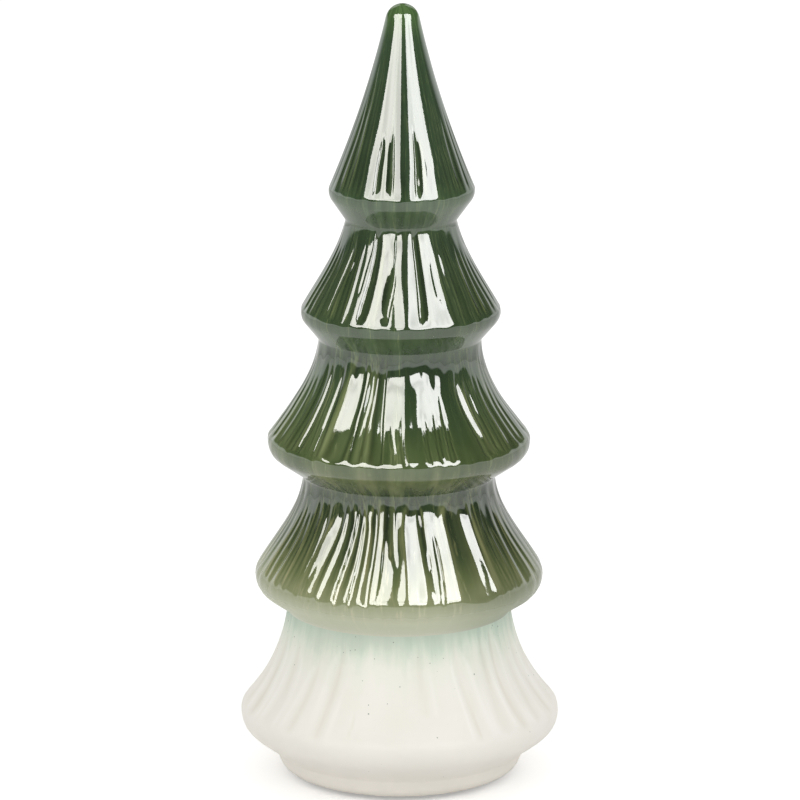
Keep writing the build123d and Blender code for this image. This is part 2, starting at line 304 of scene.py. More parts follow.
fourth_tier_flutes = [
    Flute(-88, 2.4, 2.4, 0.4), Flute(-82, 2.4, 2.4, 0.4), Flute(-75, 2.6, 2.6, 0.45, 0.1, 1.1),
    Flute(-69, 2, 2, 0.35, 0.2, 1.05), Flute(-64, 2.6, 2.6, 0.5, 0.1, 1.15),
    Flute(-58, 2.2, 2.2, 0.4, 0.1, 1.1), Flute(-52.5, 2.2, 2.8, 0.55, 0.0, 1.15, -1.0),
    Flute(-47, 2, 2, 0.4, 0.25, 1.1), Flute(-44, 2.4, 1.6, 0.5, 0.0, 1.15),
    Flute(-36, 6.0, 3.1, 0.9, 0.1, 1.25, -5.0), Flute(-31.5, 1.2, 5.5, 0.62, 0.0, 1.2, -3.0),
    Flute(-25, 1.0, 4.6, 0.85, -0.05, 1.18, -2.0), Flute(-19.8, 1.0, 3.6, 0.78, 0.05, 1.2, -1.0),
    Flute(-12.5, 3.8, 1.0, 0.68, -0.05, 1.15, 1.0), Flute(-7.5, 2.0, 0.8, 0.3, 0.3, 1.2, -3.0),
    Flute(-2.5, 6.5, 0.8, 0.45, 0.7, -0.3, -4.0), Flute(10.5, 7.5, 4.0, 0.55, -0.05, 1.25, 0.8),
    Flute(14.5, 0.8, 1.4, 0.22, 0.45, 1.2, 1.0), Flute(18.5, 2.2, 1.2, 0.5, 0.3, 1.2),
    Flute(37, 12, 6.5, 1.1, -0.05, 1.15, 1.0), Flute(46.5, 2.0, 2.4, 0.5, 0.0, 1.12, 1.0),
    Flute(52, 2.4, 2.2, 0.5, 0.05, 1.15), Flute(57, 2, 2, 0.4, 0.2, 1.1),
    Flute(62.5, 2.6, 2.4, 0.5, 0.05, 1.15), Flute(67.5, 2, 2, 0.35, 0.1, 1.05),
    Flute(73, 2.6, 2.6, 0.5, 0.1, 1.15), Flute(79, 2.4, 2.4, 0.4, 0.1, 1.05), Flute(85, 2.4, 2.4, 0.4),
]
print("flutes on the front half:", len(third_tier_flutes), len(fourth_tier_flutes))

# %% Flutes of the skirt
skirt_flutes = [
    Flute(-85, 4, 4, 0.3, 0.2), Flute(-72, 5, 5, 0.35, 0.15, 1.1), Flute(-57, 5, 4, 0.4, 0.1, 1.15),
    Flute(-43, 4, 5, 0.28, 0.3, 1.15, -3.0), Flute(-30, 5, 4, 0.38, 0.1, 1.2, -4.0),
    Flute(-19, 1.2, 1.2, 0.2, 0.75, 1.0), Flute(10, 4, 4, 0.2, 0.1, 0.8),
    Flute(30, 3, 5, 0.42, 0.1, 1.15, 3.0), Flute(44, 4, 4, 0.3, 0.05, 1.1),
    Flute(53, 3, 5, 0.5, 0.1, 1.15, 2.0), Flute(64, 5, 4, 0.35, 0.2, 1.15),
    Flute(73, 4, 4, 0.35, 0.1, 1.1), Flute(84, 4, 4, 0.3, 0.2),
]
flutes = [first_tier_flutes, second_tier_flutes, third_tier_flutes, fourth_tier_flutes, skirt_flutes]
print("flutes on the front half:", sum(len(each) for each in flutes), "in all")

# %% [markdown]
# ## Depth of the folds
# Every point of the casting needs one number, how deep it is pressed in. Modelling the folds as faces would
# fix them for good, while a number on each point can be scaled later. Each flute also leaves three values
# for the glaze, which breaks thin over the shoulders and the core and pools on the flanks between them. The
# flutes at the sides get small random changes, as the real ones are less even than a table.

# %% Depth of one flute
COLUMNS = 550
POINTED_SHARE, ROUND_END_SHARE = 0.3, 0.09
LEAST_TAPER = 0.02
FLUTE_SHARPNESS = 1.2
FLUTE_SWAY, SWAY_TURNS = 0.7, 5
TINT_DEPTH = 0.35
TINT_END, TINT_FADE = 1.12, 0.15
CORE_REACH = 0.6
FLANK_PLACE, FLANK_SPREAD = 0.72, 0.24
SHOULDER_PLACE, SHOULDER_SPREAD = 1.15, 0.28
HALF_TURN = 180
azimuth = np.arange(COLUMNS) * 360 / COLUMNS - HALF_TURN
turns = np.radians(azimuth)


def flute_depth(flute, share):
    """Depth of one flute in one row, and how near each point lies to its core, flanks and shoulders."""
    travel = (share - flute.start) / (flute.end - flute.start)
    if not 0 < travel < 1:
        return 0, 0, 0, 0
    room = (1 - travel) / ROUND_END_SHARE
    taper = math.sin(min(1, travel / POINTED_SHARE) * math.pi / 2)
    taper *= math.sqrt(1 - (1 - room) ** 2) if room < 1 else 1
    sway = flute.lean * (travel - 0.5) + FLUTE_SWAY * math.sin(SWAY_TURNS * travel + flute.azimuth)
    across = (azimuth - flute.azimuth - sway + HALF_TURN / 2) % HALF_TURN - HALF_TURN / 2
    away = np.where(across < 0, -across / flute.left, across / flute.right) / max(taper, LEAST_TAPER)
    pressed = np.clip(1 - away**FLUTE_SHARPNESS, 0, 1) * taper * flute.depth * MM
    tint = min(1, flute.depth / TINT_DEPTH) * math.sqrt(taper)
    tint *= min(1, max(0, (TINT_END - share) / TINT_FADE))
    core = np.clip(1 - away / CORE_REACH, 0, 1) * tint
    flank = np.exp(-(((away - FLANK_PLACE) / FLANK_SPREAD) ** 2)) * tint
    shoulder = np.exp(-(((away - SHOULDER_PLACE) / SHOULDER_SPREAD) ** 2)) * tint
    return pressed, core, flank, shoulder


# %% Slow waves, wavy edges and the swell of the third tier
WAVE_HEIGHTS = np.array((0.03, 0.08, 0.13, 0.14, 0.15)) * MM
WAVE_COUNTS = ((9, 22, 41), (17, 26, 43), (19, 27, 46), (23, 34, 51), (9, 15, 23))
EDGE_HEIGHTS = np.array(((0, 0.06), (0.06, 0.08), (0.14, 0.1), (0.18, 0.05), (0.04, 0.03))) * MM
EDGE_COUNTS = ((17, 25), (21, 29), (27, 34), (30, 38), (12, 16))
NECK_PLACE, HEM_PLACE, EDGE_REACH = 0.15, 1.05, 0.2
EDGE_WOBBLE, EDGE_WOBBLE_COUNT = 1.5, 5
SWELL_TIER, SWELL_COUNT, SWELL_CREST = 2, 8, math.radians(16)
SWELL_HEIGHT, SWELL_START_SHARE = 0.8 * MM, 0.3


def wave_depth(number, share, phases):
    """Depth of the waves in one row; they grow down the face and fade out on the underside."""
    fade = max(0.0, min(1.0, (UNDER_END - share) / (UNDER_END - FACE_END)))
    grow = min(share, FACE_END) * fade
    total = np.zeros(COLUMNS)
    for count, phase in zip(WAVE_COUNTS[number], phases):
        total += np.sin(turns * count + phase + share)
    waves = WAVE_HEIGHTS[number] * grow * (1 + total / len(phases))
    edges = zip((NECK_PLACE, HEM_PLACE), EDGE_HEIGHTS[number], EDGE_COUNTS[number], phases)
    for place, height, count, phase in edges:
        lift = max(0.0, 1 - ((share - place) / EDGE_REACH) ** 2)
        wobble = EDGE_WOBBLE * np.sin(EDGE_WOBBLE_COUNT * turns + phase)
        waves += height * lift * (1 + np.sin(turns * count + phase + wobble))
    if number == SWELL_TIER:
        swell = np.abs(np.cos(turns)) * (1 - np.cos((turns - SWELL_CREST) * SWELL_COUNT)) / 2
        waves += SWELL_HEIGHT * min(1, share / SWELL_START_SHARE) * fade * swell
    return waves


# %% Depth at every point
SEED = 12
SIDE_AZIMUTH = 45
LEAST_CHANGE, MOST_CHANGE = (0.4, -1.2, -0.1), (1.2, 1.2, 0.2)
random = np.random.default_rng(SEED)


def varied_flute(flute):
    """A flute at the side gets another depth, place and start; one in front stays as it is."""
    if abs(flute.azimuth) < SIDE_AZIMUTH:
        return flute
    deeper, aside, later = random.uniform(LEAST_CHANGE, MOST_CHANGE)
    return flute._replace(
        depth=flute.depth * deeper, azimuth=flute.azimuth + aside, start=flute.start + later)


varied = [[varied_flute(flute) for flute in each] for each in flutes]
wave_phases = [random.uniform(0, 2 * math.pi, 3) for _ in tiers]
depth, core, flank, shoulder = np.zeros((4, len(rows), COLUMNS))
for index, row in enumerate(rows):
    if row.tier > SKIRT:
        continue
    for flute in varied[row.tier]:
        for values, new in zip((depth, core, flank, shoulder), flute_depth(flute, row.share)):
            values[index] = np.maximum(values[index], new)
    depth[index] += wave_depth(row.tier, row.share, wave_phases[row.tier])
print("deepest fold in mm:", round(float(depth.max()) / MM, 2))

# %% [markdown]
# ## Plain turned shape
# The rows are turned round the axis into one closed mesh with a pole at each end. A Screw modifier could do
# that, but points that are laid out by row and column are easy to give values to. A hand-fettled casting is
# never quite straight, so the axis drifts by about a millimetre. The folds' depth isn't applied yet: it is
# stored on the points, for a node tree that presses it in along the surface.

# %% Points and faces
AXIS_DRIFT = (
    (303, 1.0), (231, 0.7), (219, 0.4), (184, 0.3), (173, 0.0), (150, -0.9),
    (133, -0.4), (80, -0.4), (45, -0.4), (24, -0.1), (0, 0.0),
)
drift_heights = [height * MM for height, _ in reversed(AXIS_DRIFT)]
drift_offsets = [offset * MM for _, offset in reversed(AXIS_DRIFT)]

points = []
for row in rows:
    shift = np.interp(row.height, drift_heights, drift_offsets)
    ring = [row.radius * np.sin(turns) + shift, -row.radius * np.cos(turns), np.full(COLUMNS, row.height)]
    points.append(np.stack(ring, axis=1))
tip_pole = [drift_offsets[-1], 0, body_high.z]
vent_pole = [0, 0, rows[-1].height]
vertices = np.concatenate([*points, [tip_pole], [vent_pole]])

columns = np.arange(COLUMNS)
after = (columns + 1) % COLUMNS
faces = []
for index in range(len(rows) - 1):
    top, low = index * COLUMNS, (index + 1) * COLUMNS
    faces += np.stack([top + columns, low + columns, low + after, top + after], axis=1).tolist()
last = (len(rows) - 1) * COLUMNS
tip_index, vent_index = len(vertices) - 2, len(vertices) - 1
faces += [[tip_index, a, b] for a, b in zip(columns.tolist(), after.tolist())]
faces += [[last + a, vent_index, last + b] for a, b in zip(columns.tolist(), after.tolist())]

mesh = bpy.data.meshes.new("glazed_tree")
mesh.from_pydata(vertices.tolist(), [], faces)
glazed_tree = bpy.data.objects.new("glazed_tree", mesh)
scene.collection.objects.link(glazed_tree)
print("turned mesh:", len(mesh.vertices), "points", len(mesh.polygons), "faces")

# %% Values on the points and faces
GREEN, WHITE, CLAY = 0, 1, 2
finish_of_row = [GREEN if row.tier < SKIRT else WHITE if row.tier <= FOOT else CLAY for row in rows]
glossy = np.repeat([float(each == GREEN) for each in finish_of_row], COLUMNS)
point_values = {
    "flute_depth": (depth, 0), "core": (core, 0), "flank": (flank, 0), "shoulder": (shoulder, 0),
    "gloss": (glossy, 1),
}
for name, (values, at_tip) in point_values.items():
    attribute = mesh.attributes.new(name, "FLOAT", "POINT")
    attribute.data.foreach_set("value", np.append(values.ravel(), [at_tip, 0]).astype(np.float32))
finish = mesh.attributes.new("finish", "INT", "FACE")
pole_finishes = np.repeat([GREEN, CLAY], COLUMNS)
finish_values = np.concatenate([np.repeat(finish_of_row[1:], COLUMNS), pole_finishes])
finish.data.foreach_set("value", finish_values.astype(np.int32))
print("stored on the mesh:", [*point_values, finish.name])

# %% [markdown]
# ## Materials and their nodes
# A finish could be painted on an image, but an image has one resolution and a seam. Nodes work the colour
# out at every point from its place and from the values that the flutes left there, so the colour follows
# the clay. The helpers below keep each node to one line.

# %% Node helpers
def srgb(red, green, blue):
    """Linear colour from the usual 0 to 255 values."""
    parts = [x / 255 for x in (red, green, blue)]
    return (*[x / 12.92 if x <= 0.04045 else ((x + 0.055) / 1.055) ** 2.4 for x in parts], 1)


def add(tree, kind, values=None, **settings):
    """New node with its settings, and its inputs set or linked by name or number."""
    node = tree.nodes.new(kind)
    for name, value in settings.items():
        setattr(node, name, value)
    for key, value in (values or {}).items():
        if isinstance(value, bpy.types.NodeSocket):
            tree.links.new(value, node.inputs[key])
        else:
            node.inputs[key].default_value = value
    return node


def math_node(tree, operation, *values):
    """Result of one sum."""
    return add(tree, "ShaderNodeMath", dict(enumerate(values)), operation=operation).outputs[0]


def vector_node(tree, operation, *values):
    """Result of one sum with vectors."""
    return add(tree, "ShaderNodeVectorMath", dict(enumerate(values)), operation=operation).outputs[0]


def ranged(tree, value, low, high, to_low=0.0, to_high=1.0):
    """Value mapped from one range to another, smooth and clamped."""
    names = {"Value": value, "From Min": low, "From Max": high, "To Min": to_low, "To Max": to_high}
    return add(tree, "ShaderNodeMapRange", names, interpolation_type="SMOOTHSTEP").outputs["Result"]


def noise(tree, vector, scale, detail=2.0, roughness=0.5):
    """Cloudy noise between 0 and 1."""
    values = {"Vector": vector, "Scale": scale, "Detail": detail, "Roughness": roughness}
    return add(tree, "ShaderNodeTexNoise", values).outputs["Fac"]


# %% Colour helpers
def mixed(tree, factor, a, b, blend="MIX"):
    """Two colours mixed."""
    return add(tree, "ShaderNodeMix", {0: factor, 6: a, 7: b}, data_type="RGBA", blend_type=blend).outputs[2]


def tinted(tree, factor, colour, tint):
    """Colour multiplied by a tint, as far as the factor says."""
    return mixed(tree, factor, colour, mixed(tree, 1.0, colour, tint, "MULTIPLY"))


def height_ramp(tree, height, stops):
    """Colours over the casting's height; each stop is a height in millimetres and a colour."""
    node = add(tree, "ShaderNodeValToRGB", {"Fac": math_node(tree, "DIVIDE", height, body_high.z)})
    elements = node.color_ramp.elements
    while len(elements) > 1:
        elements.remove(elements[-1])
    for number, (stop, colour) in enumerate(stops):
        place = stop * MM / body_high.z
        element = elements[0] if number == 0 else elements.new(place)
        element.position = place
        element.color = srgb(*colour)
    return node.outputs["Color"]


# %% Material helpers
def empty_material(name):
    """Material without nodes, and its tree."""
    material = bpy.data.materials.new(name)
    material.use_nodes = True
    material.node_tree.nodes.clear()
    return material, material.node_tree


def new_material(name):
    """Material with a surface shader, its tree, the shader and the place on the object."""
    material, tree = empty_material(name)
    shader = add(tree, "ShaderNodeBsdfPrincipled")
    add(tree, "ShaderNodeOutputMaterial", {"Surface": shader.outputs["BSDF"]})
    place = add(tree, "ShaderNodeTexCoord").outputs["Object"]
    return material, tree, shader, place


def parts_of(tree, vector):
    """The X, Y and Z of a vector."""
    return add(tree, "ShaderNodeSeparateXYZ", {"Vector": vector}).outputs


def point_value(tree, name):
    """A value that was stored on the points."""
    return add(tree, "ShaderNodeAttribute", attribute_name=name).outputs["Fac"]


def around(tree, place, pitch):
    """Direction from the axis plus the height, so that a pattern runs down the tiers without a seam."""
    flat = vector_node(tree, "MULTIPLY", place, (1, 1, 0))
    unit = vector_node(tree, "NORMALIZE", flat)
    tall = vector_node(tree, "MULTIPLY", place, (0, 0, pitch))
    return vector_node(tree, "ADD", unit, tall)


def emboss(tree, shader, height, strength, distance):
    """Fine relief that only the shading shows."""
    bump = add(tree, "ShaderNodeBump", {"Height": height, "Strength": strength, "Distance": distance})
    tree.links.new(bump.outputs["Normal"], shader.inputs["Normal"])


# %% [markdown]
# ## Green lustre glaze
# The green is a glossy reactive glaze: bottle green where it lies thick, olive where it breaks thin over the
# shoulders and the core of a flute, dark where it pools on the flanks, and washed out to cream at the fourth
# hem. Painted shade darkens the right side. One flat green under a clear coat would look like plastic, so
# two colour ramps over the height, thick and thin, are mixed by the flute values and by fine vertical runs.

# %% Colours of the green glaze
THICK_GREENS = (
    (66, (208, 210, 190)), (75, (188, 193, 163)), (81, (147, 153, 113)), (88, (112, 124, 78)),
    (97, (68, 86, 50)), (110, (50, 68, 38)), (119, (62, 80, 47)), (124, (126, 132, 92)),
    (132, (98, 112, 68)), (140, (90, 107, 63)), (154, (70, 92, 58)), (170, (52, 71, 44)),
    (177, (80, 102, 64)), (185, (66, 86, 53)), (212, (55, 74, 49)), (222, (70, 90, 58)),
    (229, (78, 102, 66)), (238, (53, 73, 47)), (290, (61, 83, 56)), (301, (92, 122, 70)),
)
THIN_GREENS = (
    (66, (214, 214, 196)), (80, (196, 192, 154)), (95, (166, 165, 116)), (118, (134, 142, 94)),
    (134, (142, 152, 104)), (170, (120, 132, 84)), (200, (118, 130, 84)), (306, (102, 118, 80)),
)
# The last tint is painted shade for the right side of the glaze.
POOL_TINT, CLOUD_TINT, RIGHT_SHADE_TINT = srgb(176, 176, 160), srgb(200, 210, 196), srgb(192, 198, 186)


def glaze_breaks(tree, place, height, runs, bands):
    """How thin the glaze lies: over shoulders and cores, and along hairlines that end below the nose."""
    streaky = ranged(tree, runs, 0.36, 0.6, 0.15, 1.0)
    over_shoulder = math_node(tree, "MULTIPLY", point_value(tree, "shoulder"), streaky)
    over_core = math_node(tree, "MULTIPLY", point_value(tree, "core"), 0.4)
    hairs = noise(tree, around(tree, place, pitch=3.5), scale=42, detail=2)
    in_bands = ranged(tree, bands, 0.4, 0.65, 0.1, 0.6)
    hairlines = math_node(tree, "MULTIPLY", ranged(tree, hairs, 0.52, 0.7), in_bands)
    hairlines = math_node(tree, "MULTIPLY", hairlines, ranged(tree, height, 300 * MM, 288 * MM))
    return math_node(tree, "MAXIMUM", over_shoulder, math_node(tree, "MAXIMUM", over_core, hairlines))


# %% Green glaze
GLAZE_IOR = 2.0
GLOSS_ROUGHNESS, SATIN_ROUGHNESS = 0.035, 0.42


def green_glaze():
    """Glossy green that turns satin and cream below the fourth hem."""
    material, tree, shader, place = new_material("green_lustre_glaze")
    spot = parts_of(tree, place)
    height = spot["Z"]
    runs = noise(tree, around(tree, place, pitch=2.5), scale=15, detail=3)
    bands = noise(tree, around(tree, place, pitch=1.5), scale=7, detail=1)
    cloud = noise(tree, place, scale=45, detail=3)
    reach = ranged(tree, height, 82 * MM, 100 * MM, 2 * MM, 16 * MM)
    wander = math_node(tree, "MULTIPLY", math_node(tree, "SUBTRACT", runs, 0.5), reach)
    level = math_node(tree, "ADD", height, wander)
    thick = height_ramp(tree, level, THICK_GREENS)
    thin = height_ramp(tree, level, THIN_GREENS)
    colour = mixed(tree, glaze_breaks(tree, place, height, runs, bands), thick, thin)
    deep = ranged(tree, level, 85 * MM, 110 * MM, 0.1, 0.75)
    pooled = math_node(tree, "MULTIPLY", point_value(tree, "flank"), deep)
    colour = tinted(tree, pooled, colour, POOL_TINT)
    patchy = ranged(tree, cloud, 0.3, 0.6, 0.4, 1.0)
    dark = math_node(tree, "MULTIPLY", ranged(tree, bands, 0.6, 0.4), patchy)
    dark = math_node(tree, "MULTIPLY", dark, ranged(tree, level, 80 * MM, 100 * MM))
    colour = tinted(tree, dark, colour, CLOUD_TINT)
    # Painted shade: the glaze is darkened towards the right.
    shade_to_right = ranged(tree, spot["X"], 10 * MM, 45 * MM)
    colour = tinted(tree, shade_to_right, colour, RIGHT_SHADE_TINT)
    tree.links.new(colour, shader.inputs["Base Color"])
    satin = ranged(tree, level, 83 * MM, 71 * MM)
    roughness = math_node(tree, "MULTIPLY_ADD", satin, SATIN_ROUGHNESS, GLOSS_ROUGHNESS)
    tree.links.new(roughness, shader.inputs["Roughness"])
    shader.inputs["IOR"].default_value = GLAZE_IOR
    skin = noise(tree, place, scale=900, detail=2)
    emboss(tree, shader, skin, strength=0.03, distance=0.2 * MM)
    return material


# %% [markdown]
# ## Matt white skirt
# The bottom tier is brushed with a matt white slip, an engobe. A breath of the green glaze has settled at its
# neck, and the firing left a few specks and pinholes. The specks come from a texture of small cells, of
# which only a few are chosen, more of them near the neck. That is cheaper than hundreds of tiny dents.

# %% White engobe
# The two lowest stops, on the foot, are painted light: a little lighter, against the shade beside the floor.
SKIRT_WHITES = (
    (0, (248, 243, 234)), (9, (246, 241, 233)), (24, (242, 239, 232)), (44, (242, 240, 232)),
    (52, (238, 238, 228)), (58, (223, 231, 217)), (63, (200, 216, 200)), (70, (182, 202, 186)),
)
# Besides the stain and the specks, the two middle colours are painted shade for the flutes and a painted
# highlight for their shoulders.
STAIN, FLUTE_SHADE, SHOULDER_HIGHLIGHT, SPECK = srgb(236, 232, 221), srgb(222, 214, 202), srgb(250, 248, 242), srgb(96, 112, 92)
SPECK_STRENGTH, PINHOLE_DEPTH = 0.65, 1.5
SPECK_CELLS, SPECK_SIZE, SPECK_SPREAD = 420.0, 0.04, 0.1
RARE, FREQUENT = 0.965, 0.7
ENGOBE_IOR = 1.5


def specks(tree, place, height):
    """Small dots, 1 inside and 0 outside, denser towards the neck."""
    cells = add(tree, "ShaderNodeTexVoronoi", {"Vector": place, "Scale": SPECK_CELLS, "Randomness": 1.0})
    pick = add(tree, "ShaderNodeSeparateColor", {"Color": cells.outputs["Color"]})
    rarity = ranged(tree, height, 35 * MM, 60 * MM, RARE, FREQUENT)
    chosen = math_node(tree, "GREATER_THAN", pick.outputs["Red"], rarity)
    size = math_node(tree, "MULTIPLY_ADD", pick.outputs["Green"], SPECK_SPREAD, SPECK_SIZE)
    return math_node(tree, "MULTIPLY", chosen, math_node(tree, "LESS_THAN", cells.outputs["Distance"], size))


def white_engobe():
    """Matt white, mint at the neck, with painted shade in the flutes and painted highlights over their
    shoulders.
    """
    material, tree, shader, place = new_material("matt_white_engobe")
    height = parts_of(tree, place)["Z"]
    streak = noise(tree, around(tree, place, pitch=3.0), scale=12, detail=3)
    cloud = noise(tree, place, scale=60, detail=4)
    blotch = math_node(tree, "MULTIPLY_ADD", cloud, 0.9, streak)
    wander = math_node(tree, "MULTIPLY", math_node(tree, "SUBTRACT", blotch, 0.95), 18 * MM)
    # The ramp's lowest stops are painted light that lifts the foot.
    colour = height_ramp(tree, math_node(tree, "ADD", height, wander), SKIRT_WHITES)
    colour = mixed(tree, ranged(tree, cloud, 0.35, 0.7, 0.0, 0.3), colour, STAIN)
    # Painted shade darkens the cores of the flutes.
    inside = ranged(tree, streak, 0.3, 0.6, 0.1, 0.5)
    colour = mixed(tree, math_node(tree, "MULTIPLY", point_value(tree, "core"), inside), colour, FLUTE_SHADE)
    # A painted highlight lightens the shoulders of the flutes.
    over = ranged(tree, streak, 0.35, 0.6, 0.0, 0.6)
    colour = mixed(tree, math_node(tree, "MULTIPLY", point_value(tree, "shoulder"), over), colour, SHOULDER_HIGHLIGHT)
    dots = specks(tree, place, height)
    colour = mixed(tree, math_node(tree, "MULTIPLY", dots, SPECK_STRENGTH), colour, SPECK)
    tree.links.new(colour, shader.inputs["Base Color"])
    grain = noise(tree, place, scale=700, detail=3)
    relief = math_node(tree, "SUBTRACT", grain, math_node(tree, "MULTIPLY", dots, PINHOLE_DEPTH))
    emboss(tree, shader, relief, strength=0.12, distance=0.3 * MM)
    tree.links.new(ranged(tree, cloud, 0.2, 0.8, 0.55, 0.75), shader.inputs["Roughness"])
    shader.inputs["IOR"].default_value = ENGOBE_IOR
    return material


# %% [markdown]
# ## Bare clay
# Under the foot the glaze is wiped off, so that the tree doesn't stick to the kiln shelf, and the buff
# stoneware shows. One fine noise serves as its colour, its roughness and its grain, because on raw clay
# these come from the same grit.

# %% Bare clay under the foot
def bare_clay():
    """Unglazed buff stoneware with a dusty grain."""
    material, tree, shader, place = new_material("bare_stoneware")
    grain = noise(tree, place, scale=420, detail=5, roughness=0.65)
    colour = mixed(tree, ranged(tree, grain, 0.3, 0.7), srgb(214, 203, 186), srgb(232, 224, 210))
    tree.links.new(colour, shader.inputs["Base Color"])
    tree.links.new(ranged(tree, grain, 0.2, 0.8, 0.75, 0.92), shader.inputs["Roughness"])
    emboss(tree, shader, grain, strength=0.2, distance=0.3 * MM)
    return material


finishes = [green_glaze(), white_engobe(), bare_clay()]
print("finishes:", [material.name for material in finishes])

# %% [markdown]
# ## Pressing in the folds
# A Geometry Nodes tree pushes each point inwards by its stored depth and adds the slow ripple that a poured
# glaze sets with. Doing this with nodes keeps the sizes as named inputs. The ripple only ever goes inwards,
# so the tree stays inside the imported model's box. The result is turned into a plain mesh, because only plain
# meshes are exported.

# %% Node tree helpers
FLOAT, MATERIAL = "NodeSocketFloat", "NodeSocketMaterial"


def new_group(name, inputs):
    """Empty geometry tree, its nodes for what goes in and out, and its inputs' identifiers."""
    tree = bpy.data.node_groups.new(name, "GeometryNodeTree")
    tree.interface.new_socket("Geometry", in_out="INPUT", socket_type="NodeSocketGeometry")
    tree.interface.new_socket("Geometry", in_out="OUTPUT", socket_type="NodeSocketGeometry")
    identifiers = {}
    for label, kind in inputs.items():
        identifiers[label] = tree.interface.new_socket(label, in_out="INPUT", socket_type=kind).identifier
    return tree, add(tree, "NodeGroupInput"), add(tree, "NodeGroupOutput"), identifiers


def stored(tree, name, kind="FLOAT"):
    """A value that was stored on the mesh."""
    return add(tree, "GeometryNodeInputNamedAttribute", {"Name": name}, data_type=kind).outputs["Attribute"]


def bake(piece, tree, settings):
    """Runs the tree on the piece and leaves a plain mesh."""
    modifier = piece.modifiers.new(tree.name, "NODES")
    modifier.node_group = tree
    for identifier, value in settings.items():
        modifier[identifier] = value
    depsgraph = bpy.context.evaluated_depsgraph_get()
    result = bpy.data.meshes.new_from_object(
        piece.evaluated_get(depsgraph), preserve_all_data_layers=True, depsgraph=depsgraph)
    piece.modifiers.clear()
    piece.data = result
    result.shade_smooth()


# %% Node tree for folds and glaze ripple
fold_tree, entry, leave, fold_inputs = new_group("press_folds", {
    "Depth": FLOAT, "Ripple height": FLOAT, "Ripple size": FLOAT,
    "Green": MATERIAL, "White": MATERIAL, "Clay": MATERIAL,
})
normal = add(fold_tree, "GeometryNodeInputNormal").outputs["Normal"]
position = add(fold_tree, "GeometryNodeInputPosition").outputs["Position"]
ripple_scale = math_node(fold_tree, "DIVIDE", 1.0, entry.outputs["Ripple size"])
ripple = add(fold_tree, "ShaderNodeTexNoise", {"Vector": position, "Scale": ripple_scale, "Detail": 1.0})
inward = math_node(fold_tree, "SUBTRACT", ripple.outputs["Fac"], 1.0)
gloss = math_node(fold_tree, "MULTIPLY", stored(fold_tree, "gloss"), entry.outputs["Ripple height"])
press = math_node(fold_tree, "MULTIPLY", stored(fold_tree, "flute_depth"), entry.outputs["Depth"])
amount = math_node(fold_tree, "SUBTRACT", math_node(fold_tree, "MULTIPLY", inward, gloss), press)
offset = add(fold_tree, "ShaderNodeVectorMath", {0: normal, "Scale": amount}, operation="SCALE").outputs[0]
moved = add(fold_tree, "GeometryNodeSetPosition", {"Geometry": entry.outputs["Geometry"], "Offset": offset})
real = add(fold_tree, "GeometryNodeRealizeInstances", {"Geometry": moved.outputs[0]}).outputs[0]
for number, label in ((GREEN, "Green"), (WHITE, "White"), (CLAY, "Clay")):
    values = {"Geometry": real, "Material": entry.outputs[label]}
    if number != GREEN:
        same = {2: stored(fold_tree, "finish", "INT"), 3: number}
        chosen = add(fold_tree, "FunctionNodeCompare", same, data_type="INT", operation="EQUAL")
        values["Selection"] = chosen.outputs[0]
    real = add(fold_tree, "GeometryNodeSetMaterial", values).outputs[0]
fold_tree.links.new(real, leave.inputs[0])
print(fold_tree.name, "has", len(fold_tree.nodes), "nodes")

# %% Glazed tree
RIPPLE_HEIGHT, RIPPLE_SIZE = 0.07 * MM, 14 * MM
bake(glazed_tree, fold_tree, {
    fold_inputs["Depth"]: 1.0,
    fold_inputs["Ripple height"]: RIPPLE_HEIGHT,
    fold_inputs["Ripple size"]: RIPPLE_SIZE,
    fold_inputs["Green"]: finishes[GREEN],
    fold_inputs["White"]: finishes[WHITE],
    fold_inputs["Clay"]: finishes[CLAY],
})
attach(glazed_tree, "root")
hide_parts("tree_body")
print("tree:", len(glazed_tree.data.polygons), "faces,", [m.name for m in glazed_tree.data.materials])

# %% [markdown]
# ## Felt pads
# Four stick-on felt discs keep the clay off the table. Pressed felt has soft edges and a haze of loose
# fibres. Hair particles would be lost in the export, so the disc is a low turned shape, and a node tree
# scatters short thin cones over it from a fixed seed, one seed for each pad. Fibres that would reach past the
# disc's faces are pressed flat, as they are between clay and table.

# %% Felt finish
FELT_ROUGHNESS, FELT_SHEEN = 0.95, 0.4


def stretched(tree, vector, x, y, z):
    """Place with each axis scaled by itself."""
    return add(tree, "ShaderNodeMapping", {"Vector": vector, "Scale": (x, y, z)}).outputs["Vector"]


def wool_felt():
    """Pressed wool: mottled, fibrous and quite matt."""
    material, tree, shader, place = new_material("wool_felt")
    tangle = noise(tree, stretched(tree, place, 1, 1, 2.5), scale=1600, detail=5, roughness=0.7)
    cloud = noise(tree, place, scale=350, detail=2)
    colour = mixed(tree, ranged(tree, tangle, 0.3, 0.7), srgb(188, 181, 168), srgb(228, 222, 210))
    colour = mixed(tree, ranged(tree, cloud, 0.3, 0.7, 0.0, 0.35), colour, srgb(206, 198, 182))
    tree.links.new(colour, shader.inputs["Base Color"])
    emboss(tree, shader, tangle, strength=0.5, distance=0.15 * MM)
    shader.inputs["Roughness"].default_value = FELT_ROUGHNESS
    shader.inputs["Sheen Weight"].default_value = FELT_SHEEN
    return material


